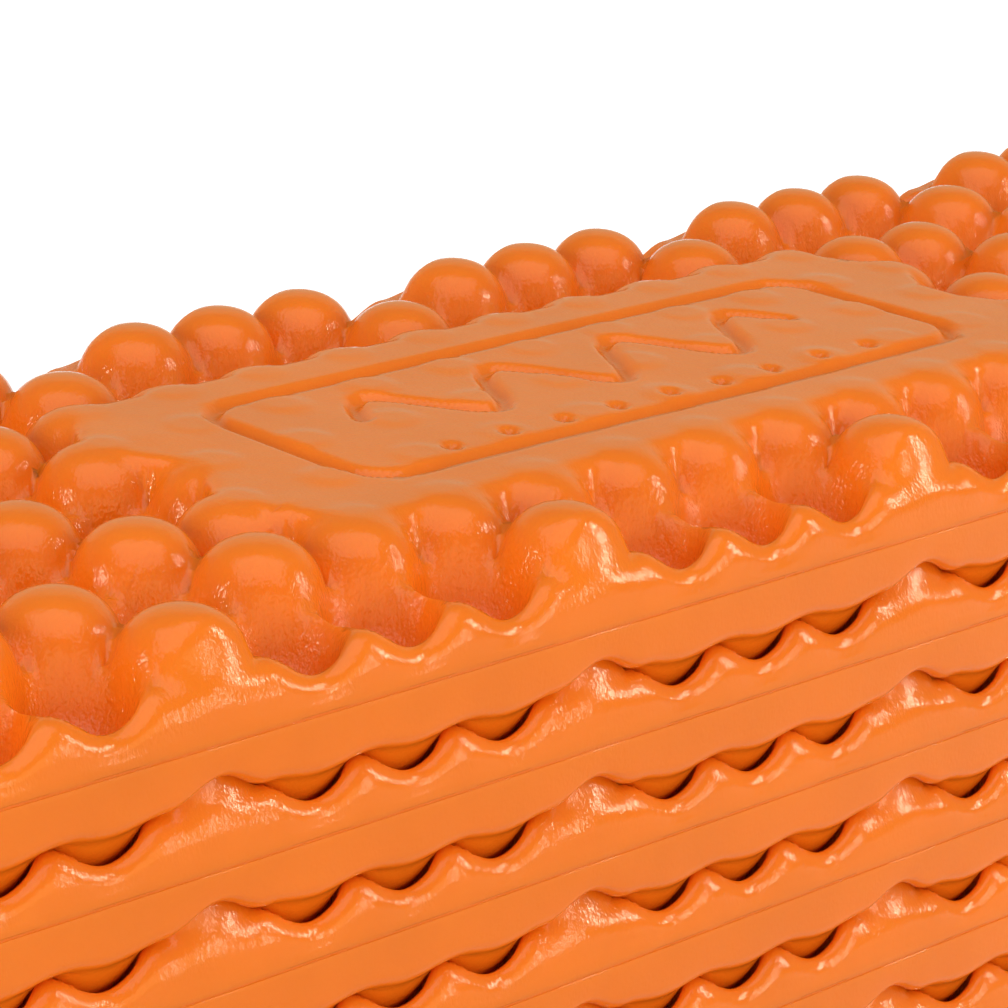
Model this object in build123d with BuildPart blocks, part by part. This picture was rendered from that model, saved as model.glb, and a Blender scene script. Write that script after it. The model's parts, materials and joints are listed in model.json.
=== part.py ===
from build123d import *
import os
from math import sqrt

# Closed-cell foam sleeping pad that folds like an accordion, modelled in its packed, folded state.
# Millimetres. X runs along the folds (the width a sleeper lies across), Y is the depth of the packed
# stack, Z is up. The origin is the bottom centre of the packed stack.
# The pad is one laminated sheet (soft comfort foam, firm base foam, metallised film), creased every
# FOLD_SPACING. Each length between creases is a rigid panel here; panel 1 lies on the ground. Odd
# panels lie comfort side down and even panels comfort side up, so equal faces meet at every fold.

# Whole pad
PAD_WIDTH = 510.0  # across the sleeper, along the folds
OPEN_LENGTH = 1830.0  # unfolded, along the sleeper
PANEL_COUNT = 14
PAD_THICKNESS = 24.0  # from the tips of the bumps on one side to those on the other
STACK_PITCH = 9.2  # how much each nested panel adds to the height of the folded stack
FOLD_SPACING = OPEN_LENGTH / PANEL_COUNT
HALF_DEPTH = FOLD_SPACING / 2

# Sheet
FILM_THICKNESS = 0.2
PANEL_GAP = 0.3  # between neighbouring panels of the folded stack
EDGE_GAP = 0.25  # from a panel's long edge to the vertical plane of the fold axes
SHEET_THICKNESS = STACK_PITCH - PANEL_GAP
COMFORT_THICKNESS = 4.25
BASE_THICKNESS = SHEET_THICKNESS - COMFORT_THICKNESS - FILM_THICKNESS

# Living hinge at each crease: a half-round bead of pressed foam centred on the fold axis
WEB_RADIUS = 1.0
WEB_CLEARANCE = 0.05  # between the bead and the panel that turns round it
WEB_INSET = 0.15  # from the bead's flat to the plane of the fold axes
WEB_END_INSET = 1.0

# Bumps stand on a triangular lattice: half rise from the sheet and half sink below it
SITES_ACROSS = 28
ROW_COUNT = 8
SITE_PITCH = PAD_WIDTH / SITES_ACROSS
ROW_PITCH = SITE_PITCH * sqrt(3) / 2
PATTERN_SITES = 4  # the pattern repeats after this many sites along a row
CENTRE_SITE = 8
FIRST_ROW_Y = -ROW_PITCH * (ROW_COUNT - 1) / 2
DOME_HEIGHT = (PAD_THICKNESS - SHEET_THICKNESS) / 2
DOME_BASE_RADIUS = 8.4
DOME_TIP_RADIUS = 2.5

# Raised panel in the middle of the top face, level with the dome tips
PLATEAU_FIRST_ROW = 1
PLATEAU_LAST_ROW = 5
PLATEAU_HALF_SITES = 4.5
PLATEAU_BORDER = 7.0  # past the centres of its outermost bumps
PLATEAU_CORNER = 16.0
PLATEAU_EDGE_FILLET = 3.0


def mid_height(panel):
    """The height of a panel's middle plane in the folded stack."""
    return PAD_THICKNESS / 2 + (panel - 1) * STACK_PITCH


def comfort_side(panel):
    """+1 where the comfort foam faces up, -1 where it faces down."""
    return 1 if panel % 2 == 0 else -1


def fold_axis(fold):
    """The (y, z) of the fold between panel number fold and the next one up."""
    side = -1 if fold % 2 else 1
    return side * HALF_DEPTH, mid_height(fold) + STACK_PITCH / 2


def layer_slab(panel, low, thickness):
    """One layer of a panel. low is the height of its underside from the panel's middle plane."""
    with BuildPart() as layer:
        with BuildSketch(Plane.YZ.offset(-PAD_WIDTH / 2)):
            with Locations((0, mid_height(panel) + low + thickness / 2)):
                Rectangle(FOLD_SPACING - 2 * EDGE_GAP, thickness)
            for fold, clearance in ((panel, 0), (panel - 1, WEB_CLEARANCE)):
                if 1 <= fold < PANEL_COUNT:
                    with Locations(fold_axis(fold)):
                        Circle(WEB_RADIUS + clearance, mode=Mode.SUBTRACT)
        extrude(amount=PAD_WIDTH)
    return layer


def layer_low(panel, depth, thickness):
    """The underside height of a layer that starts at a depth below the comfort face."""
    if comfort_side(panel) > 0:
        return SHEET_THICKNESS / 2 - depth - thickness
    return depth - SHEET_THICKNESS / 2


def site_rises(row, site):
    """Whether the bump at a site stands up from the stack rather than down."""
    along = round(site - row / 2)
    return (along % PATTERN_SITES == 1) != (row % 2 == 1)


def site_xy(row, site):
    return (site - CENTRE_SITE) * SITE_PITCH, FIRST_ROW_Y + row * ROW_PITCH


def whole_sites(rising):
    """Centres of the bumps of one kind whose domes lie wholly inside the pad's ends."""
    centres = []
    for row in range(ROW_COUNT):
        for step in range(SITES_ACROSS + 1):
            site = CENTRE_SITE - SITES_ACROSS / 2 + step + (row % 2) / 2
            x, y = site_xy(row, site)
            if site_rises(row, site) == rising and abs(x) + DOME_BASE_RADIUS < PAD_WIDTH / 2:
                centres.append((x, y))
    return centres


PLATEAU_LENGTH = 2 * (PLATEAU_HALF_SITES * SITE_PITCH + PLATEAU_BORDER)
PLATEAU_LOW_Y = site_xy(PLATEAU_FIRST_ROW, 0)[1] - PLATEAU_BORDER
PLATEAU_HIGH_Y = site_xy(PLATEAU_LAST_ROW, 0)[1] + PLATEAU_BORDER
PLATEAU_MID_Y = (PLATEAU_LOW_Y + PLATEAU_HIGH_Y) / 2
PLATEAU_DEPTH = PLATEAU_HIGH_Y - PLATEAU_LOW_Y


def clear_of_plateau(centre):
    x, y = centre
    reach = DOME_BASE_RADIUS + 0.5
    outside_x = abs(x) > PLATEAU_LENGTH / 2 + reach
    outside_y = abs(y - PLATEAU_MID_Y) > PLATEAU_DEPTH / 2 + reach
    return outside_x or outside_y


# A dome: a round cap with a small flat tip, standing on the comfort face
with BuildPart() as dome:
    with BuildSketch(Plane.XZ):
        with BuildLine():
            Line((0, -1), (0, DOME_HEIGHT))
            Line((0, DOME_HEIGHT), (DOME_TIP_RADIUS, DOME_HEIGHT))
            ThreePointArc(
                (DOME_TIP_RADIUS, DOME_HEIGHT),
                (DOME_BASE_RADIUS * 0.8, DOME_HEIGHT * 0.52),
                (DOME_BASE_RADIUS, 0),
            )
            Line((DOME_BASE_RADIUS, 0), (DOME_BASE_RADIUS, -1))
            Line((DOME_BASE_RADIUS, -1), (0, -1))
        make_face()
    revolve(axis=Axis.Z)

# The raised panel with rounded corners and a rounded top edge
with BuildPart() as plateau:
    with BuildSketch(Plane.XY.offset(-1)):
        RectangleRounded(PLATEAU_LENGTH, PLATEAU_DEPTH, PLATEAU_CORNER)
    extrude(amount=DOME_HEIGHT + 1)
    fillet(plateau.faces().sort_by(Axis.Z)[-1].edges(), PLATEAU_EDGE_FILLET)

os.makedirs("parts", exist_ok=True)


def write(part, label):
    part.label = label
    export_step(part, f"parts/{label}.step")


for panel in range(1, PANEL_COUNT + 1):
    comfort = layer_slab(
        panel, layer_low(panel, 0, COMFORT_THICKNESS), COMFORT_THICKNESS
    )
    face_height = mid_height(panel) + comfort_side(panel) * SHEET_THICKNESS / 2
    if panel == 1:
        with comfort:
            with Locations(*[Location((x, y, face_height), (180, 0, 0)) for x, y in whole_sites(False)]):
                add(dome.part)
    if panel == PANEL_COUNT:
        with comfort:
            with Locations(*[(x, y, face_height) for x, y in whole_sites(True) if clear_of_plateau((x, y))]):
                add(dome.part)
            with Locations((0, PLATEAU_MID_Y, face_height)):
                add(plateau.part)
    write(comfort.part, f"comfort_foam_{panel:02d}")

    base = layer_slab(
        panel, layer_low(panel, COMFORT_THICKNESS, BASE_THICKNESS), BASE_THICKNESS
    )
    write(base.part, f"base_foam_{panel:02d}")

    film_depth = COMFORT_THICKNESS + BASE_THICKNESS
    film = layer_slab(panel, layer_low(panel, film_depth, FILM_THICKNESS), FILM_THICKNESS)
    write(film.part, f"reflective_film_{panel:02d}")

for fold in range(1, PANEL_COUNT):
    axis_y, axis_z = fold_axis(fold)
    inward = -1 if axis_y > 0 else 1
    with BuildPart() as web:
        with BuildSketch(Plane.YZ.offset(WEB_END_INSET - PAD_WIDTH / 2)):
            with Locations((axis_y, axis_z)):
                Circle(WEB_RADIUS)
            cut_width = WEB_RADIUS + WEB_INSET
            with Locations((axis_y + inward * (WEB_INSET - cut_width / 2), axis_z)):
                Rectangle(cut_width, 2 * WEB_RADIUS, mode=Mode.SUBTRACT)
        extrude(amount=PAD_WIDTH - 2 * WEB_END_INSET)
    write(web.part, f"fold_web_{fold:02d}")
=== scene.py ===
import json
import math

import bpy
import numpy as np
from mathutils import Matrix, Vector


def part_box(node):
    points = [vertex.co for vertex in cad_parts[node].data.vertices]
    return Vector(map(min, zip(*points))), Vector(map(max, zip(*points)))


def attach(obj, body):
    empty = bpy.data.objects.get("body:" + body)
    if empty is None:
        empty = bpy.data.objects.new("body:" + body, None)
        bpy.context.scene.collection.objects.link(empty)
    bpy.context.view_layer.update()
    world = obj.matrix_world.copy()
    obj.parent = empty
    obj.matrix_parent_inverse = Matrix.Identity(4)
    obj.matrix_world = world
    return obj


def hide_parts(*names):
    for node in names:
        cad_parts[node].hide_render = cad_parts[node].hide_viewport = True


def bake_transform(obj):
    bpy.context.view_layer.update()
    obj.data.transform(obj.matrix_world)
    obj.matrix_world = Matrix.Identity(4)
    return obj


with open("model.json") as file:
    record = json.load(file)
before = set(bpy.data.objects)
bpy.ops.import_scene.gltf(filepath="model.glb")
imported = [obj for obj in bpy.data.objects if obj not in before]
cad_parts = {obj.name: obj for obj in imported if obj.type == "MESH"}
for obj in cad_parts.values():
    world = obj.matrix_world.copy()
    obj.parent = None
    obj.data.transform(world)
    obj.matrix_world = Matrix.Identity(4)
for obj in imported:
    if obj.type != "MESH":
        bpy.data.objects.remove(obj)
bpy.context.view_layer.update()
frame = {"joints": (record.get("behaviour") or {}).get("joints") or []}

# A folded closed-cell foam sleeping pad: 14 panels of laminated foam in a zigzag stack.
# Sizes are in millimetres and come from the frame where it holds them. Meshes are made in metres.
MM = 0.001


def frame_box(node):
    low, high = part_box(node)
    return np.array(low) / MM, np.array(high) / MM


# ---- Sizes read from the frame
FOLDS = {joint["name"]: [c / MM for c in joint["pos_m"]] for joint in frame["joints"]}
PANEL_COUNT = len(FOLDS) + 1
STACK_PITCH = FOLDS["fold_02"][2] - FOLDS["fold_01"][2]
FIRST_MID = FOLDS["fold_01"][2] - STACK_PITCH / 2
SLAB_LOW = frame_box("reflective_film_02")[0]
SLAB_HIGH = frame_box("comfort_foam_02")[1]
HALF_WIDTH, EDGE_Y = SLAB_HIGH[0], SLAB_HIGH[1]
HALF_SHEET = (SLAB_HIGH[2] - SLAB_LOW[2]) / 2
TIP = FIRST_MID - frame_box("comfort_foam_01")[0][2]  # how far the bumps stand from a panel's middle plane
TOP = frame_box("comfort_foam_14")[1][2]

# ---- The lattice of bumps
SITES_ACROSS = 28
ROW_COUNT = 8
SITE = 2 * HALF_WIDTH / SITES_ACROSS
ROW = SITE * math.sqrt(3) / 2
FIRST_ROW_Y = -ROW * (ROW_COUNT - 1) / 2
CENTRE_SITE = 8
PATTERN = 4

# ---- The shape of one bump, measured from a panel's middle plane
RIM = 3.8
RIM_SWELL = 0.45  # the rim stands this much higher beside the long edges
SWELL_DEPTH, SWELL_REACH = 3.5, 3.0
DOME_RADIUS = 9.85
DOME_ROOT = 1.5
DOME_POWER = 2.3  # 2 would make the dome half an ellipse; more makes its side steeper
BOWL_RADIUS = 8.9
OPEN_BOWL_RADIUS = 8.2  # on the top face, where no domes nest in the bowls
BOWL_FLOOR = -6.2
BOWL_WALL_SLOPE = 3.0
CREASE_BLEND = 1.5
RIDGE_BLEND = 3.0
BUMP_REACH = 1.5 * DOME_RADIUS  # a bump further than this from a point has no part in its height
FAR = 1000.0


def smooth_max(a, b, blend):
    h = np.maximum(blend - np.abs(a - b), 0) / blend
    return np.maximum(a, b) + h * h * blend / 4


def smooth_min(a, b, blend):
    return -smooth_max(-a, -b, blend)


def smoothstep(t):
    t = np.clip(t, 0, 1)
    return t * t * (3 - 2 * t)


def rises(row, site):
    """Whether the bump at a site stands up from the folded stack."""
    along = round(site - row / 2)
    return (along % PATTERN == 1) != (row % 2 == 1)


def site_xy(row, site):
    return (site - CENTRE_SITE) * SITE, FIRST_ROW_Y + row * ROW


def sites(row):
    """Every site of a row, with those just past the pad's cut ends."""
    half = SITES_ACROSS // 2 + 1
    return [CENTRE_SITE - half + n + (row % 2) / 2 for n in range(2 * half + 1)]


def dome_cap(r):
    left = np.maximum(1 - (r / DOME_RADIUS) ** DOME_POWER, 0)
    return np.where(left > 0, DOME_ROOT + (TIP - DOME_ROOT) * left ** (1 / DOME_POWER), -FAR)


def bowl_cup(r, radius):
    cup = BOWL_FLOOR + radius - np.sqrt(np.maximum(radius**2 - r * r, 0))
    return cup + np.maximum(r - radius, 0) * BOWL_WALL_SLOPE


def dome_and_bowl(xs, y, swap, bowl_radius=BOWL_RADIUS):
    """The heights of the domes and of the bowls along a row of points. swap trades domes for bowls."""
    dome = np.full(xs.shape, -FAR)
    bowl = np.full(xs.shape, FAR)
    for row in range(ROW_COUNT):
        gap = y - site_xy(row, 0)[1]
        if abs(gap) > BUMP_REACH:
            continue
        for site in sites(row):
            r = np.hypot(xs - site_xy(row, site)[0], gap)
            if rises(row, site) != swap:
                dome = np.maximum(dome, dome_cap(r))
            else:
                bowl = np.minimum(bowl, bowl_cup(r, bowl_radius))
    return dome, bowl


def rim_height(y):
    return RIM + RIM_SWELL * math.exp(-(((EDGE_Y - abs(y) - SWELL_DEPTH) / SWELL_REACH) ** 2))


WAVE_LOBE, WAVE_DROP = 1.2, 3.1  # how far the long edges rise at a dome and drop at a bowl
WAVE_START, WAVE_END = 1.6, 5.8


def with_edge_wave(height, xs, y, swap):
    """Close to the long edges the bumps fade into a wave along the edge."""
    depth = EDGE_Y - abs(y)
    if depth >= WAVE_END:
        return height
    row = 0 if y < 0 else ROW_COUNT - 1
    wave = np.full(xs.shape, rim_height(y))
    for site in sites(row):
        across = np.clip((xs - site_xy(row, site)[0]) / SITE, -0.5, 0.5)
        wave += np.cos(math.pi * across) ** 2 * (WAVE_LOBE if rises(row, site) != swap else -WAVE_DROP)
    return wave + (height - wave) * smoothstep((depth - WAVE_START) / (WAVE_END - WAVE_START))


RELIEFS = {}


def relief(xs, y, swap):
    """Height of a moulded surface above the middle plane, along a row of points."""
    key = (len(xs), round(float(y), 4), swap)
    if key not in RELIEFS:
        dome, bowl = dome_and_bowl(xs, y, swap)
        height = smooth_max(smooth_min(rim_height(y), bowl, RIDGE_BLEND), dome, CREASE_BLEND)
        RELIEFS[key] = with_edge_wave(height, xs, y, swap)
    return RELIEFS[key]


# ---- The raised flat on the top face, with its engraved pattern
FLAT_ROWS = {1: (3.5, 12.5), 2: (3, 13), 3: (3.5, 12.5), 4: (3, 13), 5: (3.5, 12.5)}
FLAT_OUTLINE = [site_xy(row, ends[1]) for row, ends in FLAT_ROWS.items()]
FLAT_OUTLINE += [site_xy(row, ends[0]) for row, ends in reversed(FLAT_ROWS.items())]
FLAT_ROUND = 3.0
FLAT_BLEND = 1.2
FLAT_SINK = 0.3
UNEVENNESS = 0.15  # the flat isn't quite level, except at its edge
UNEVEN_X, UNEVEN_Y = (0.06, 0.6), (0.11, 1.1)  # radians per mm, and the phase
UNEVEN_FROM_EDGE = 9.0
GROOVE_HALF = 2.2
GROOVE_SLOPE = 1.9
GROOVE_DEPTH = 1.5


def distance_to_line(xs, y, points):
    """Distance from each point of a row to a line through some points."""
    nearest = np.full(xs.shape, FAR)
    for (ax, ay), (bx, by) in zip(points, points[1:]):
        dx, dy = bx - ax, by - ay
        t = np.clip(((xs - ax) * dx + (y - ay) * dy) / (dx * dx + dy * dy), 0, 1)
        nearest = np.minimum(nearest, np.hypot(xs - ax - t * dx, y - ay - t * dy))
    return nearest


def inside_outline(xs, y, points):
    inside = np.zeros(xs.shape, bool)
    for (ax, ay), (bx, by) in zip(points, points[1:] + points[:1]):
        if (ay > y) != (by > y):
            inside ^= xs < ax + (y - ay) / (by - ay) * (bx - ax)
    return inside


FLAT_MID_Y = site_xy(3, 0)[1]
BORDER_HALF = np.array([3.75 * SITE, 1.35 * ROW])
BORDER_CORNER = 8.0
BORDER_MARGIN = 2.0  # the mesh stays fine this far past the border
WAVY_HEIGHT, WAVY_MID, WAVY_HALF_WAVE, WAVY_END, WAVY_STEP = 8.5, 3.0, 14, 49, 2
WAVY_LINE = [
    (x, WAVY_MID - WAVY_HEIGHT * math.cos(x * math.pi / WAVY_HALF_WAVE))
    for x in range(-WAVY_END, WAVY_END + 1, WAVY_STEP)
]
DIMPLE_COUNT = 9
DIMPLE_STEP = 12.0
DIMPLE_Y = -16.0
DIMPLE_RADIUS = 2.2


def engraving(xs, y):
    """How deep the pattern is cut along a row of points: a rounded border, a wavy line, and dimples."""
    v = y - FLAT_MID_Y
    over_x = np.abs(xs) - (BORDER_HALF[0] - BORDER_CORNER)
    over_y = abs(v) - (BORDER_HALF[1] - BORDER_CORNER)
    outside = np.hypot(np.maximum(over_x, 0), max(over_y, 0))
    border = np.abs(outside + np.minimum(np.maximum(over_x, over_y), 0) - BORDER_CORNER)
    away = np.minimum(border, distance_to_line(xs, v, WAVY_LINE))
    for n in range(DIMPLE_COUNT):
        centre = (n - (DIMPLE_COUNT - 1) / 2) * DIMPLE_STEP
        dimple = np.hypot(xs - centre, v - DIMPLE_Y) - DIMPLE_RADIUS + GROOVE_HALF
        away = np.minimum(away, np.maximum(dimple, 0))
    return GROOVE_DEPTH * (1 - smoothstep((away - GROOVE_HALF + GROOVE_SLOPE) / GROOVE_SLOPE))


def top_relief(xs, y):
    """The top panel's upper surface: bumps all round, and the raised flat."""
    dome, bowl = dome_and_bowl(xs, y, False, OPEN_BOWL_RADIUS)
    for row, (first, last) in FLAT_ROWS.items():
        gap = y - site_xy(row, 0)[1]
        for n in range(int(last - first) + 1):
            dome = np.maximum(dome, dome_cap(np.hypot(xs - site_xy(row, first + n)[0], gap)))
    bumps = smooth_max(smooth_min(rim_height(y), bowl, RIDGE_BLEND), dome, CREASE_BLEND)
    bumps = with_edge_wave(bumps, xs, y, False)
    inside = inside_outline(xs, y, FLAT_OUTLINE)
    away = distance_to_line(xs, y, FLAT_OUTLINE + FLAT_OUTLINE[:1])
    fall = FLAT_ROUND - np.sqrt(np.maximum(FLAT_ROUND**2 - away**2, 0))
    unevenness = UNEVENNESS * np.sin(xs * UNEVEN_X[0] + UNEVEN_X[1]) * np.sin(y * UNEVEN_Y[0] + UNEVEN_Y[1])
    level = TIP - FLAT_SINK + unevenness * smoothstep(away / UNEVEN_FROM_EDGE)
    raised = np.where(inside, level, np.where(away < FLAT_ROUND, TIP - FLAT_SINK - fall, -FAR))
    height = np.minimum(smooth_max(bumps, raised, FLAT_BLEND), TIP)
    return height - np.where(inside, engraving(xs, y), 0)


# ---- How a panel's long edges close
CREASE_DEPTH = 0.10  # how far a crease lies behind the panels' faces
LIP = 0.8  # how far from the crease the face is furthest out
FACE_LEAN = 0.25
SETBACK = 0.6  # how far behind the face the layers inside a wrapped edge begin
# reach is how deep the curve of the shoulder goes, and curved the share of the height that it takes
SOFT_NOSE = {"reach": 4.8, "curved": 0.62}  # on the surface that faces up
FIRM_NOSE = {"reach": 3.0, "curved": 0.32}  # on the surface that faces down
LIP_SHARE = 0.6  # the most that the lip takes of the straight part
LIP_ROWS, FACE_ROWS, SHOULDER_ROWS = 5, 3, 10
FLATTEN_REACH = 10.0
CUT_ROUND = 1.0
CUT_REACH = 4.0
CUT_CLOSENESS = 1.6  # more brings the rows of a cut edge closer to the edge


def nose_rows(reach, curved):
    """The rows of a wrapped edge from its crease: (depth behind the face, part, place in it, curved)."""
    rows = []
    for n in range(LIP_ROWS):
        t = (n + 0.5) / LIP_ROWS
        rows.append((CREASE_DEPTH * (1 - math.sin(t * math.pi / 2)), "lip", t, curved))
    for n in range(FACE_ROWS):
        t = n / FACE_ROWS
        rows.append((FACE_LEAN * t * t, "face", t, curved))
    for n in range(SHOULDER_ROWS + 1):
        turn = n / SHOULDER_ROWS * math.pi / 2
        depth = FACE_LEAN + (reach - FACE_LEAN) * (1 - math.cos(turn))
        rows.append((depth, "shoulder", math.sin(turn), curved))
    return rows


def wrapped(height, part, t, curved):
    """The height above a crease of a surface that wraps round the edge, from its height unwrapped."""
    curve = curved * height
    lip = np.minimum(LIP, LIP_SHARE * (height - curve))
    if part == "lip":
        return lip * t
    if part == "face":
        return lip + (height - curve - lip) * t
    return height - curve * (1 - t)


def cut_rows():
    """The rows of a cut edge, which lie closest at the edge itself."""
    count = LIP_ROWS + FACE_ROWS + SHOULDER_ROWS + 1
    return [(CUT_REACH * (n / (count - 1)) ** CUT_CLOSENESS, None) for n in range(count)]


def crosses_pattern(y):
    return abs(y - FLAT_MID_Y) < BORDER_HALF[1] + BORDER_MARGIN


def middle_depths(panel, start, end):
    """Depths of the rows between a panel's edges. They lie closer where the photograph's side shows."""
    depths, depth = [], start
    while depth < end - ROW_STEP / 2:
        if panel == PANEL_COUNT:
            step = TOP_PATTERN_ROW_STEP if crosses_pattern(depth - EDGE_Y) else TOP_ROW_STEP
        else:
            step = FRONT_ROW_STEP if depth < FRONT_STRIP else ROW_STEP
        depth += step
        depths.append(depth)
    stretch = (end - start) / (depths[-1] - start)
    return [start + (depth - start) * stretch for depth in depths[:-1]]


def panel_rows(panel):
    """The rows of a panel's mesh from front to back. Each is a dict with the y of the comfort skin, the film
    and the layers between them, and how the skin or the film wraps there."""
    soft, firm = nose_rows(**SOFT_NOSE), nose_rows(**FIRM_NOSE)
    front, back = (soft, firm) if panel % 2 == 0 else (firm, soft)
    if panel in (1, PANEL_COUNT):
        back = cut_rows()
    start, end = front[-1][0], 2 * EDGE_Y - back[-1][0]
    rows = []
    for (depth, *wrap), inner in zip(front, np.linspace(SETBACK, start, len(front))):
        rows.append({"skin": depth, "film": inner, "inner": inner, "skin_wrap": wrap, "film_wrap": None})
    for depth in middle_depths(panel, start, end):
        rows.append({"skin": depth, "film": depth, "inner": depth, "skin_wrap": None, "film_wrap": None})
    inners = np.linspace(SETBACK, back[-1][0], len(back))
    if panel in (1, PANEL_COUNT):
        inners = [depth for depth, *_ in back]
    for (depth, *wrap), inner in reversed(list(zip(back, inners))):
        inner, depth = 2 * EDGE_Y - inner, 2 * EDGE_Y - depth
        wrap = wrap if wrap[0] else None
        rows.append({"skin": inner, "film": depth, "inner": inner, "skin_wrap": None, "film_wrap": wrap})
    for row in rows:
        for name in ("skin", "film", "inner"):
            row[name] -= EDGE_Y
    return rows


def cut_loss(depth):
    """How much a cut edge's rounding takes off a surface."""
    t = np.clip(depth / CUT_ROUND, 0, 1)
    return CUT_ROUND * (1 - np.sqrt(1 - (1 - t) ** 2))


def skin_height(panel, xs, row):
    """Height of the comfort skin from the panel's middle plane, towards the comfort side."""
    back = EDGE_Y - row["skin"]
    y = row["skin"]
    height = top_relief(xs, y) if panel == PANEL_COUNT else relief(xs, y, panel % 2 == 1)
    if row["skin_wrap"]:
        height = wrapped(height + HALF_SHEET, *row["skin_wrap"]) - HALF_SHEET
    if panel in (1, PANEL_COUNT):
        height = height - cut_loss(back)
    else:
        height = HALF_SHEET + (height - HALF_SHEET) * smoothstep((back - CREASE_DEPTH) / FLATTEN_REACH)
    return height - cut_loss(HALF_WIDTH - np.abs(xs))


def film_height(panel, xs, row):
    """Height of the film from the panel's middle plane, towards the comfort side."""
    front, back = row["film"] + EDGE_Y, EDGE_Y - row["film"]
    height = -relief(xs, row["film"], panel % 2 == 0)
    if panel in (1, PANEL_COUNT):
        height = height + cut_loss(back)
    elif row["film_wrap"]:
        height = HALF_SHEET - wrapped(HALF_SHEET - height, *row["film_wrap"])
    height = -HALF_SHEET + (height + HALF_SHEET) * smoothstep((front - CREASE_DEPTH) / FLATTEN_REACH)
    return height + cut_loss(HALF_WIDTH - np.abs(xs))


# ---- Meshes
SHARP_ANGLE = math.radians(75)


def add_piece(name, points, faces):
    mesh = bpy.data.meshes.new(name)
    mesh.from_pydata((points * MM).tolist(), [], faces)
    mesh.polygons.foreach_set("use_smooth", [True] * len(faces))
    mesh.set_sharp_from_angle(angle=SHARP_ANGLE)
    mesh.update()
    piece = bpy.data.objects.new(name, mesh)
    bpy.context.scene.collection.objects.link(piece)
    return piece


def ring_of_rows(name, rows, steps, flipped):
    """A closed mesh round a loop of rows. Each row is an array of points, a whole number of them per step."""
    starts = np.cumsum([0] + [len(row) for row in rows])
    per_step = [(len(row) - 1) // steps for row in rows]
    faces = []
    for a in range(len(rows)):
        b = (a + 1) % len(rows)
        if per_step[a] == per_step[b]:
            i = np.arange(len(rows[a]) - 1)
            first, second = starts[a] + i, starts[b] + i
            faces += np.stack([first, first + 1, second + 1, second], 1).tolist()
        else:
            for i in range(steps):
                near = [int(starts[a]) + i * per_step[a] + n for n in range(per_step[a] + 1)]
                far = [int(starts[b]) + i * per_step[b] + n for n in range(per_step[b] + 1)]
                faces.append(near + far[::-1])
    for a in range(len(rows) // 2 - 1):
        other = len(rows) - 1 - a
        around = [a + 1, other - 1, other, a]
        faces.append([int(starts[k]) for k in around])
        faces.append([int(starts[k + 1]) - 1 for k in around][::-1])
    if flipped:
        faces = [face[::-1] for face in faces]
    return add_piece(name, np.concatenate(rows), faces)


def subdivide(steps, times):
    parts = [np.linspace(a, b, times, endpoint=False) for a, b in zip(steps, steps[1:])]
    return np.append(np.concatenate(parts), steps[-1])


def points_at(xs, y, z):
    return np.stack([xs, np.broadcast_to(y, xs.shape), np.broadcast_to(z, xs.shape)], 1)


STEP_X = 5.0
FRONT_STRIP = 17.0
FRONT_ROW_STEP, ROW_STEP = 1.3, 2.9
TOP_ROW_STEP, TOP_PATTERN_ROW_STEP = 1.2, 0.85
TOP_FINE = (-190.0, 110.0)
TOP_FINE_STEP, TOP_COARSE_STEP = 4.0, 6.0
EDGE_RISE = 0.95  # the skin of a wrapped edge is as smooth as the tips of the bumps, and takes their paler colour, which is painted light
INNER_RISE = 0.5
FILM = 0.18
LINING_START, LINING_REACH = 0.5, 2.5  # near the back edge the film's lining steps back behind the film
HIDDEN_INSET = 1.6  # how far the base foam stays behind the film, except at the cut ends
CUT_END_REACH = 5.0
# the most of the sheet's own height that the film, and the base foam's distance behind it, may take
FILM_SHARE, INSET_SHARE = 1 / 4, 1 / 3.5


def panel_steps(panel):
    """Places along x at which every row of a panel's mesh has a point."""
    if panel < PANEL_COUNT:
        return np.linspace(-HALF_WIDTH, HALF_WIDTH, round(2 * HALF_WIDTH / STEP_X) + 1)
    ends = [-HALF_WIDTH, *TOP_FINE, HALF_WIDTH]
    places = []
    for a, b, step in zip(ends, ends[1:], (TOP_COARSE_STEP, TOP_FINE_STEP, TOP_COARSE_STEP)):
        places.append(np.linspace(a, b, round((b - a) / step), endpoint=False))
    return np.append(np.concatenate(places), HALF_WIDTH)


def points_per_step(panel, y):
    """How many times finer than the panel's steps along x a row of its skin is."""
    if panel == PANEL_COUNT:
        return 6 if crosses_pattern(y) else 4
    return 4 if y + EDGE_Y < FRONT_STRIP else 2


def store_rise(piece, values):
    """Keeps how far each point stands up in its bump, from 0 in a pit to 1 on a tip, for the material, which
    paints shade into the pits and light onto the tips by it and crinkles the pits more.
    """
    layer = piece.data.attributes.new("rise", "FLOAT", "POINT")
    layer.data.foreach_set("value", np.clip(values, 0, 1).astype(np.float32))


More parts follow.
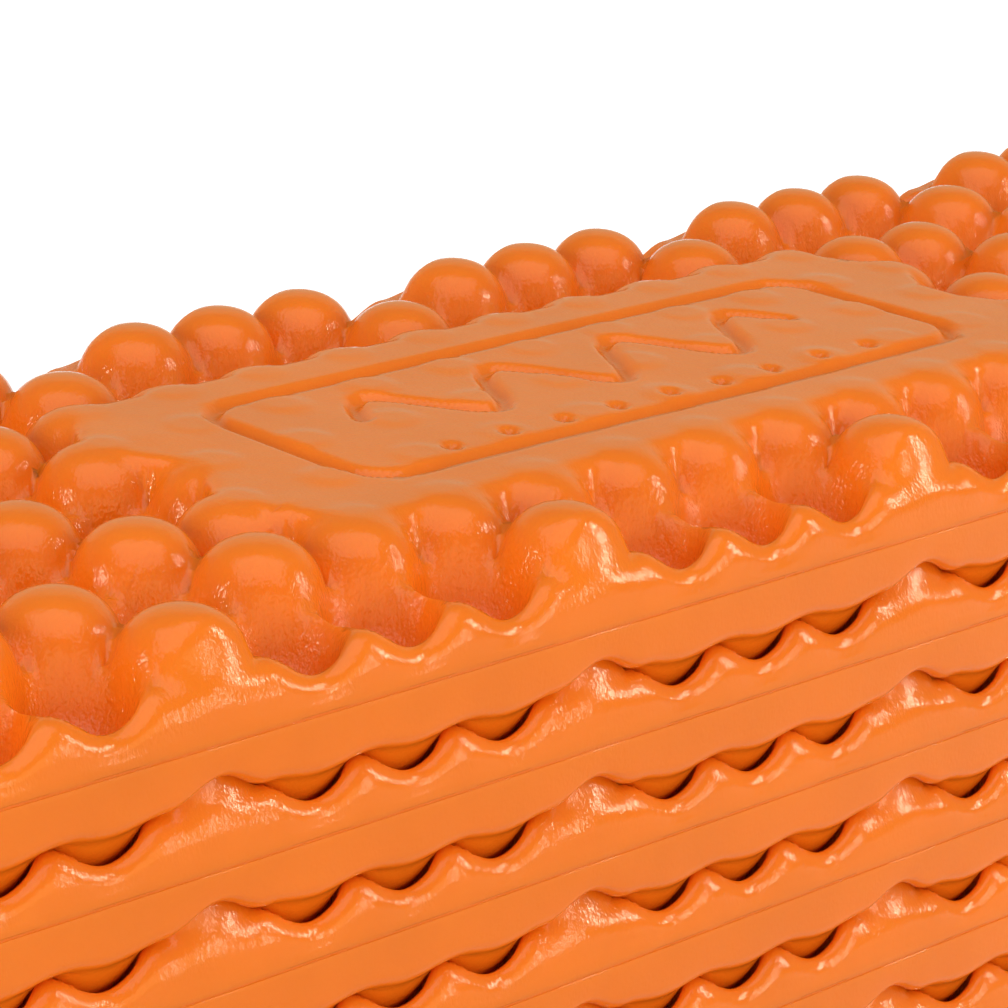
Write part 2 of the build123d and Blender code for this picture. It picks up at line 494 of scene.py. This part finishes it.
def make_panel(panel):
    """The comfort foam, base foam and film of one panel."""
    side = 1 if panel % 2 == 0 else -1
    mid = FIRST_MID + (panel - 1) * STACK_PITCH
    steps = panel_steps(panel)
    along = {times: subdivide(steps, times) for times in (1, 2, 4, 6)}
    skin, joint, back, film, lining, rise = [], [], [], [], [], []
    for row in panel_rows(panel):
        xs = along[points_per_step(panel, row["skin"])]
        outer = skin_height(panel, xs, row)
        skin.append(points_at(xs, row["skin"], mid + side * outer))
        standing = (outer - BOWL_FLOOR) / (TIP - BOWL_FLOOR)
        rise.append(np.maximum(standing, EDGE_RISE) if row["skin_wrap"] else standing)
        xs = along[2]
        outer, inner = skin_height(panel, xs, row), film_height(panel, xs, row)
        depth = EDGE_Y - row["film"]
        lining_y = row["film"] - FILM * (1 - smoothstep((depth - LINING_START) / LINING_REACH))
        thin = np.minimum(FILM, (outer - inner) * FILM_SHARE)
        film.append(points_at(xs, row["film"], mid + side * inner))
        lining.append(points_at(xs, lining_y, mid + side * (inner + thin)))
        middle = points_at(xs, row["inner"], mid + side * (outer + inner) / 2)
        joint.append(middle[::2] if panel == PANEL_COUNT else middle)
        inset = FILM + (HIDDEN_INSET - FILM) * np.clip((HALF_WIDTH - np.abs(xs)) / CUT_END_REACH, 0, 1)
        inset = np.minimum(inset, (outer - inner) * INSET_SHARE)
        back.append(points_at(xs, lining_y, mid + side * (inner + inset)))
    count = len(steps) - 1
    comfort = ring_of_rows(f"comfort_{panel:02d}", skin + joint[::-1], count, side < 0)
    base = ring_of_rows(f"base_{panel:02d}", joint + back[::-1], count, side < 0)
    cover = ring_of_rows(f"film_{panel:02d}", lining + film[::-1], count, side < 0)
    store_rise(comfort, np.concatenate(rise + [np.full(len(points), INNER_RISE) for points in joint]))
    return comfort, base, cover


WEB_HALF = 1.1
WEB_THICKNESS = 0.22
WEB_THIN_SHARE = 0.75  # how much of its thickness a web loses towards its edges
WEB_CROWN = 0.1
WEB_GROOVE, WEB_GROOVE_HALF = 0.08, 0.25
WEB_BEHIND = 0.1
WEB_STEPS = 85
WEB_ROWS = 9
WEB_END_INSET = 1.0
WEB_RISE = 0.5
WEB_INSIDE = slice(WEB_ROWS * WEB_STEPS, (2 * WEB_ROWS - 1) * WEB_STEPS)  # its faces towards the stack


def make_web(fold):
    """The thin hinge of foam and film along one crease, with its faint line."""
    _, crease_y, crease_z = FOLDS[f"fold_{fold:02d}"]
    out = math.copysign(1, crease_y)
    xs = np.linspace(WEB_END_INSET - HALF_WIDTH, HALF_WIDTH - WEB_END_INSET, WEB_STEPS + 1)
    outside, inside = [], []
    for n in range(WEB_ROWS):
        t = -1 + 2 * n / (WEB_ROWS - 1)
        groove = WEB_GROOVE * math.exp(-((t / WEB_GROOVE_HALF) ** 2))
        depth = CREASE_DEPTH + WEB_BEHIND - WEB_CROWN * t * t + groove
        z = crease_z + t * WEB_HALF
        lens = WEB_THICKNESS * (1 - WEB_THIN_SHARE * t * t)
        outside.append(points_at(xs, out * (EDGE_Y - depth), z))
        inside.append(points_at(xs, out * (EDGE_Y - depth - lens), z))
    web = ring_of_rows(f"web_{fold:02d}", outside + inside[::-1], WEB_STEPS, out > 0)
    store_rise(web, np.full(len(web.data.vertices), WEB_RISE))
    return web


# ---- Materials
def new_material(name):
    material = bpy.data.materials.new(name)
    material.use_nodes = True
    tree = material.node_tree
    return material, tree, tree.nodes["Principled BSDF"]


def add_node(tree, kind, settings=(), **inputs):
    node = tree.nodes.new(kind)
    for name, value in dict(settings).items():
        setattr(node, name, value)
    for name, value in inputs.items():
        socket = node.inputs[name.replace("_", " ")]
        if isinstance(value, bpy.types.NodeSocket):
            tree.links.new(value, socket)
        else:
            socket.default_value = value
    return node


def scaled_place(tree, scale):
    """The point on the surface in metres, times a scale along each axis."""
    place = add_node(tree, "ShaderNodeTexCoord").outputs["Object"]
    return add_node(tree, "ShaderNodeMapping", Vector=place, Scale=scale).outputs["Vector"]


def noise(tree, scale, detail=2.0, roughness=0.5):
    place = scaled_place(tree, scale)
    settings = {"Vector": place, "Scale": 1.0, "Detail": detail, "Roughness": roughness}
    return add_node(tree, "ShaderNodeTexNoise", **settings).outputs["Fac"]


def ramp(tree, value, stops):
    node = add_node(tree, "ShaderNodeValToRGB", Fac=value)
    elements = node.color_ramp.elements
    while len(elements) < len(stops):
        elements.new(0.5)
    for element, (place, colour) in zip(elements, stops):
        element.position = place
        element.color = (*colour, 1)
    return node.outputs["Color"]


def spread(tree, value, low, high):
    return add_node(tree, "ShaderNodeMapRange", Value=value, To_Min=low, To_Max=high).outputs["Result"]


def mixed(tree, how, share, a, b):
    node = tree.nodes.new("ShaderNodeMix")
    node.data_type, node.blend_type = "RGBA", how
    for name, value in (("Factor_Float", share), ("A_Color", a), ("B_Color", b)):
        socket = next(s for s in node.inputs if s.identifier == name)
        if isinstance(value, bpy.types.NodeSocket):
            tree.links.new(value, socket)
        else:
            socket.default_value = value
    return next(s for s in node.outputs if s.identifier == "Result_Color")


def grey(tree, value):
    return add_node(tree, "ShaderNodeCombineColor", Red=value, Green=value, Blue=value).outputs["Color"]


def bump(tree, heights):
    """Bumps laid over each other: a list of (height, distance in metres, strength)."""
    normal = None
    for height, distance, strength in heights:
        node = add_node(tree, "ShaderNodeBump", Height=height, Distance=distance, Strength=strength)
        if normal is not None:
            tree.links.new(normal, node.inputs["Normal"])
        normal = node.outputs["Normal"]
    return normal


FOAM_DEPTH = (0.004, 0.0014, 0.0005)  # how far red, green and blue light goes into the foam, in metres


def skin_material():
    """Comfort foam: a smooth moulded skin, finely crinkled towards its pits, with painted shade that makes
    the pits a deeper red and painted light that makes the tips paler.
    """
    material, tree, shader = new_material("comfort_foam_skin")
    rise = add_node(tree, "ShaderNodeAttribute", {"attribute_name": "rise"}).outputs["Fac"]
    # painted shade and light: a deeper, darker red in the pits, paler towards the tips of the bumps
    colour = ramp(tree, rise, [
        (0.0, (0.93, 0.180, 0.014)),
        (0.4, (0.93, 0.205, 0.012)),
        (0.8, (0.88, 0.200, 0.010)),
        (1.0, (0.90, 0.215, 0.012)),
    ])
    patches = spread(tree, noise(tree, (45, 45, 45), 3.0), 0.90, 1.10)
    patches = grey(tree, patches)
    colour = mixed(tree, "MULTIPLY", 1.0, colour, patches)
    tree.links.new(colour, shader.inputs["Base Color"])
    rough = spread(tree, noise(tree, (220, 220, 220), 3.0, 0.6), 0.10, 0.17)
    tree.links.new(rough, shader.inputs["Roughness"])
    depth = spread(tree, rise, 1.0, 0.12)
    crinkle = add_node(tree, "ShaderNodeMath", {"operation": "MULTIPLY"})
    tree.links.new(noise(tree, (1800, 1800, 1150), 1.0, 0.6), crinkle.inputs[0])
    tree.links.new(depth, crinkle.inputs[1])
    grain = noise(tree, (700, 700, 400), 3.0, 0.6)
    dents = noise(tree, (110, 110, 110), 2.0, 0.5)
    normal = bump(tree, [
        (dents, 0.0006, 0.25), (grain, 0.0001, 0.35), (crinkle.outputs["Value"], 0.0003, 1.0),
    ])
    tree.links.new(normal, shader.inputs["Normal"])
    shader.inputs["Subsurface Weight"].default_value = 0.15
    shader.inputs["Subsurface Radius"].default_value = FOAM_DEPTH
    shader.inputs["Subsurface Scale"].default_value = 1.0
    shader.inputs["IOR"].default_value = 1.48
    return material


def cut_material():
    """Base foam, cut through: small open cells, with painted shade that darkens the hollow of each cell."""
    material, tree, shader = new_material("base_foam_cut")
    place = scaled_place(tree, (1500, 1500, 1500))
    cells = add_node(tree, "ShaderNodeTexVoronoi", Vector=place, Scale=1.0)
    walls = cells.outputs["Distance"]
    tone = add_node(tree, "ShaderNodeSeparateColor", Color=cells.outputs["Color"]).outputs["Red"]
    # painted shade: each cell is darker towards its middle, where its bump is lowest
    colour = ramp(tree, spread(tree, walls, 0.2, 1.0), [(0.2, (0.62, 0.13, 0.02)), (0.9, (0.90, 0.26, 0.05))])
    tone = spread(tree, tone, 0.88, 1.08)
    tone = grey(tree, tone)
    tree.links.new(mixed(tree, "MULTIPLY", 1.0, colour, tone), shader.inputs["Base Color"])
    tree.links.new(spread(tree, walls, 0.75, 0.5), shader.inputs["Roughness"])
    tree.links.new(bump(tree, [(walls, 0.0003, 0.8)]), shader.inputs["Normal"])
    shader.inputs["Subsurface Weight"].default_value = 0.15
    shader.inputs["Subsurface Radius"].default_value = FOAM_DEPTH
    return material


def film_material():
    """Metallised film, crinkled over the bumps by the mould and by folding."""
    material, tree, shader = new_material("reflective_film")
    tone = noise(tree, (60, 60, 60), 4.0, 0.6)
    colour = ramp(tree, tone, [(0.25, (0.60, 0.61, 0.63)), (0.75, (0.84, 0.85, 0.86))])
    tree.links.new(colour, shader.inputs["Base Color"])
    creases = noise(tree, (420, 420, 420), 5.0, 0.65)
    fine = noise(tree, (2200, 2200, 2200), 2.0, 0.6)
    tree.links.new(spread(tree, creases, 0.22, 0.46), shader.inputs["Roughness"])
    tree.links.new(bump(tree, [(creases, 0.0006, 0.7), (fine, 0.0001, 0.5)]), shader.inputs["Normal"])
    shader.inputs["Metallic"].default_value = 1.0
    return material


# ---- The pad
SKIN, CUT, METAL = skin_material(), cut_material(), film_material()


def dress(piece, material, node):
    piece.data.materials.append(material)
    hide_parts(node)


for panel in range(1, PANEL_COUNT + 1):
    number = f"{panel:02d}"
    comfort, base, cover = make_panel(panel)
    dress(comfort, SKIN, f"comfort_foam_{number}")
    dress(base, CUT, f"base_foam_{number}")
    dress(cover, METAL, f"reflective_film_{number}")
    for piece in (comfort, base, cover):
        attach(piece, f"panel_{number}")

for fold in range(1, PANEL_COUNT):
    web = make_web(fold)
    outer, inner = (SKIN, METAL) if fold % 2 else (METAL, SKIN)
    dress(web, outer, f"fold_web_{fold:02d}")
    web.data.materials.append(inner)
    for face in web.data.polygons[WEB_INSIDE]:
        face.material_index = 1
    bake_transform(web)

# ---- Camera, fitted to the photograph by the lattice of bumps
TARGET = Vector((-0.2431 * HALF_WIDTH, -0.7598 * abs(FOLDS["fold_01"][1]), TOP)) * MM
CAMERA_TURN = math.radians(44.88)
CAMERA_RISE = math.radians(18.21)
CAMERA_ROLL = math.radians(2.60)
CAMERA_DISTANCE = 596.28 * MM
LENS = 146.09


def around(turn, rise):
    """The direction from the pad at an angle to the right of the camera and above the horizon."""
    turn = CAMERA_TURN - turn
    return Vector((-math.sin(turn) * math.cos(rise), -math.cos(turn) * math.cos(rise), math.sin(rise)))


def add_camera():
    data = bpy.data.cameras.new("camera")
    data.lens, data.sensor_width = LENS, 36
    data.clip_start, data.clip_end = 0.05, 50
    camera = bpy.data.objects.new("camera", data)
    bpy.context.scene.collection.objects.link(camera)
    back = around(0, CAMERA_RISE)
    right = Vector((0, 0, 1)).cross(back).normalized()
    up = back.cross(right)
    turned = Matrix.Rotation(CAMERA_ROLL, 3, back)
    right, up = turned @ right, turned @ up
    axes = Matrix((right, up, back)).transposed()
    camera.matrix_world = Matrix.Translation(TARGET + back * CAMERA_DISTANCE) @ axes.to_4x4()
    bpy.context.scene.camera = camera


add_camera()


# ---- Light
STRIP_TINT = (1.0, 0.90, 0.66)
WINDOW_TINT = (1.0, 0.80, 0.36)


AIM = Vector((0, 0, 0.07))


def add_softbox(name, turn, rise, distance, width, height, radiance, tint):
    """A panel of light that faces the pad. turn is in degrees to the right of the camera."""
    data = bpy.data.lights.new(name, "AREA")
    data.shape, data.size, data.size_y = "RECTANGLE", width, height
    data.energy, data.color = radiance * math.pi * width * height, tint
    lamp = bpy.data.objects.new(name, data)
    bpy.context.scene.collection.objects.link(lamp)
    place = AIM + around(math.radians(turn), math.radians(rise)) * distance
    lamp.location = place
    lamp.rotation_mode = "QUATERNION"
    lamp.rotation_quaternion = (AIM - place).to_track_quat("-Z", "Y")


add_softbox("left_strip", -60, 13, 1.3, 0.10, 0.62, 24, STRIP_TINT)
add_softbox("right_strip", 76, 14, 1.3, 0.05, 0.66, 14, STRIP_TINT)
add_softbox("edge_strip", 94, 26, 1.3, 0.05, 0.6, 34, STRIP_TINT)
for n, turn in enumerate((-36, 8, 51)):
    add_softbox(f"window_{n}", turn, 13, 1.35, 1.0, 0.62, 1.45, WINDOW_TINT)
add_softbox("overhead", 5, 72, 2.0, 3.0, 2.2, 1.05, (1, 0.97, 0.90))
add_softbox("behind", 180, 20, 3.2, 5.5, 2.3, 0.38, WINDOW_TINT)

world = bpy.data.worlds.new("studio")
bpy.context.scene.world = world
world.use_nodes = True
world.node_tree.nodes["Background"].inputs["Color"].default_value = (1.0, 0.94, 0.86, 1)
world.node_tree.nodes["Background"].inputs["Strength"].default_value = 0.25

FLOOR_HALF = 12.0
floor_mesh = bpy.data.meshes.new("floor")
corners = [(x * FLOOR_HALF, y * FLOOR_HALF, 0) for x, y in ((-1, -1), (1, -1), (1, 1), (-1, 1))]
floor_mesh.from_pydata(corners, [], [(0, 1, 2, 3)])
floor = bpy.data.objects.new("floor", floor_mesh)
bpy.context.scene.collection.objects.link(floor)
pale, pale_tree, pale_shader = new_material("pale_floor")
pale_shader.inputs["Base Color"].default_value = (0.62, 0.62, 0.62, 1)
pale_shader.inputs["Roughness"].default_value = 0.8
back = around(math.pi, 0)
floor_place = add_node(pale_tree, "ShaderNodeTexCoord").outputs["Object"]
behind = add_node(pale_tree, "ShaderNodeVectorMath", {"operation": "DOT_PRODUCT"}, Vector=floor_place)
behind.inputs[1].default_value = back
glow = add_node(pale_tree, "ShaderNodeMapRange", Value=behind.outputs["Value"], From_Min=-0.1, From_Max=0.5,
                To_Min=0.05, To_Max=0.95)
pale_tree.links.new(glow.outputs["Result"], pale_shader.inputs["Emission Strength"])
pale_shader.inputs["Emission Color"].default_value = (1, 1, 1, 1)
floor_mesh.materials.append(pale)

bpy.context.scene.view_settings.view_transform = "Standard"
